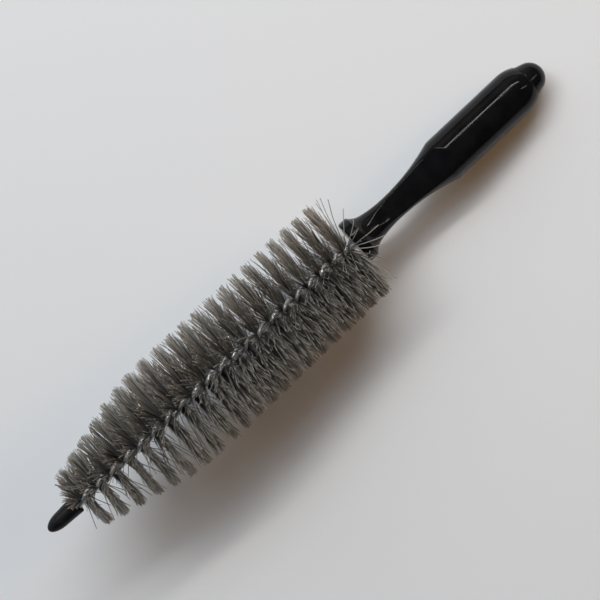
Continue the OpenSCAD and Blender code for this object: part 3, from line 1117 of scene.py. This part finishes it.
class WHEELBRUSH_OT_lock(bpy.types.Operator):
    """Finish the steel washer and sleeve that lock the wires in the handle"""

    bl_idname = "wheelbrush.lock"
    bl_label = "Wire lock"

    def execute(self, context):
        settings = context.scene.wheel_brush.wires
        material = drawn_steel("lock pressed steel", settings.lock_colour, settings.lock_roughness, 1)
        for name in ("anchor_washer", "crimp_sleeve"):
            node = frame["nodes"][name]
            if not node.material_slots:
                node.data.materials.append(material)
            for slot in node.material_slots:
                slot.material = material
        return {"FINISHED"}


class WHEELBRUSH_OT_stage(bpy.types.Operator):
    """Lay the floor, hang the lights and set the camera"""

    bl_idname = "wheelbrush.stage"
    bl_label = "Stage"

    def execute(self, context):
        settings = context.scene.wheel_brush.stage
        scene = context.scene
        scene.view_settings.view_transform = "Standard"
        half, slope = FLOOR_HALF, settings.floor_slope
        level = floor_height(slope)
        corners = [(-half, -half), (half, -half), (half, half), (-half, half)]
        mesh = bpy.data.meshes.new("floor")
        mesh.from_pydata([(x, y, level + slope * x) for x, y in corners], [], [(0, 1, 2, 3)])
        floor = new_piece("floor", mesh)
        mesh.materials.append(floor_paper(settings))

        middle = Vector((settings.view_x, settings.view_y, 0))
        beside = middle + Vector((0.1, 0, 0))
        waist = Vector((BODY_BOX[0].x + 20 * MM, 0, 0))
        white, cool, warm = (1.0, 0.97, 0.9), (0.77, 0.87, 1.0), (1.0, 0.56, 0.22)
        cream, straw = (1.0, 0.9, 0.76), (1.0, 0.9, 0.72)
        # name, place from the middle of the view, target, size, colour, whether gloss shows it
        lights = (
            ("strip", (0.5, 1.8, 2.5), beside, (4.0, 0.18), white, True),
            ("key", (0.5, 1.8, 2.5), beside, (4.0, 1.3), cool, False),
            ("soft", (0.2, 1.9, 2.1), middle, (5.5, 3.2), cool, False),
            ("wall", (0.2, 2.8, 1.3), middle, (6.0, 1.2), straw, True),
            ("warm", (1.4, -0.3, 1.0), middle, (1.0, 0.8), warm, False),
            ("glint", (1.3853, -0.36775, 1.47), waist, (0.05, 0.85), cream, True),
        )
        for name, place, target, size, colour, glossy in lights:
            power = getattr(settings, f"{name}_power")
            self.light(name, middle + Vector(place), target, size, power, colour, glossy)

        # dim above, and pale below the edge of the floor
        world = scene.world or bpy.data.worlds.new("room")
        scene.world = world
        world.use_nodes = True
        tree = world.node_tree
        background = tree.nodes["Background"]
        facing = add_node(tree, "ShaderNodeTexCoord").outputs["Generated"]
        height = split_vector(tree, facing)["Z"]
        strength = spread_value(tree, height, settings.horizon, settings.surround, 0.02, 0.12)
        background.inputs["Color"].default_value = (0.95, 0.97, 1.0, 1)
        feed(tree, background.inputs["Strength"], strength)

        data = bpy.data.cameras.new("camera")
        data.lens = settings.lens
        camera = bpy.data.objects.new("camera", data)
        scene.collection.objects.link(camera)
        camera.location = (settings.view_x, settings.view_y, settings.view_height)
        camera.rotation_euler = (0, 0, -settings.view_turn)
        scene.camera = camera
        return {"FINISHED"}

    @staticmethod
    def light(name, place, target, size, power, colour, glossy):
        """A rectangular light that faces a target, and shows in gloss or only lights up."""
        data = bpy.data.lights.new(name, "AREA")
        data.shape = "RECTANGLE"
        data.size, data.size_y = size
        data.energy = power
        data.color = colour
        light = bpy.data.objects.new(name, data)
        bpy.context.scene.collection.objects.link(light)
        light.location = place
        light.rotation_euler = (target - place).to_track_quat("-Z", "Y").to_euler()
        light.visible_camera = False
        light.visible_glossy = glossy


class WHEELBRUSH_PT_sidebar(bpy.types.Panel):
    """Steps and settings of the wheel brush"""

    bl_idname = "WHEELBRUSH_PT_sidebar"
    bl_label = "Wheel Brush"
    bl_space_type = "VIEW_3D"
    bl_region_type = "UI"
    bl_category = "Wheel Brush"

    def draw(self, context):
        layout = self.layout
        settings = context.scene.wheel_brush
        for step, group in STEPS:
            layout.operator(step.bl_idname)
            if group:
                column = layout.column()
                values = getattr(settings, group)
                for key in values.__annotations__:
                    column.prop(values, key)


STEPS = (
    (WHEELBRUSH_OT_filaments, "filaments"),
    (WHEELBRUSH_OT_loose, None),
    (WHEELBRUSH_OT_wires, "wires"),
    (WHEELBRUSH_OT_cap, "cap"),
    (WHEELBRUSH_OT_handle, "handle"),
    (WHEELBRUSH_OT_plug, None),
    (WHEELBRUSH_OT_lock, None),
    (WHEELBRUSH_OT_stage, "stage"),
)
CLASSES = (
    HandleSettings,
    FilamentSettings,
    WireSettings,
    CapSettings,
    StageSettings,
    BrushSettings,
    *(step for step, group in STEPS),
    WHEELBRUSH_PT_sidebar,
)


def register():
    for cls in CLASSES:
        bpy.utils.register_class(cls)
    bpy.types.Scene.wheel_brush = PointerProperty(type=BrushSettings)


def unregister():
    del bpy.types.Scene.wheel_brush
    for cls in reversed(CLASSES):
        bpy.utils.unregister_class(cls)


def main():
    register()
    for step, group in STEPS:
        area, name = step.bl_idname.split(".")
        getattr(getattr(bpy.ops, area), name)()


if __name__ == "__main__":
    main()
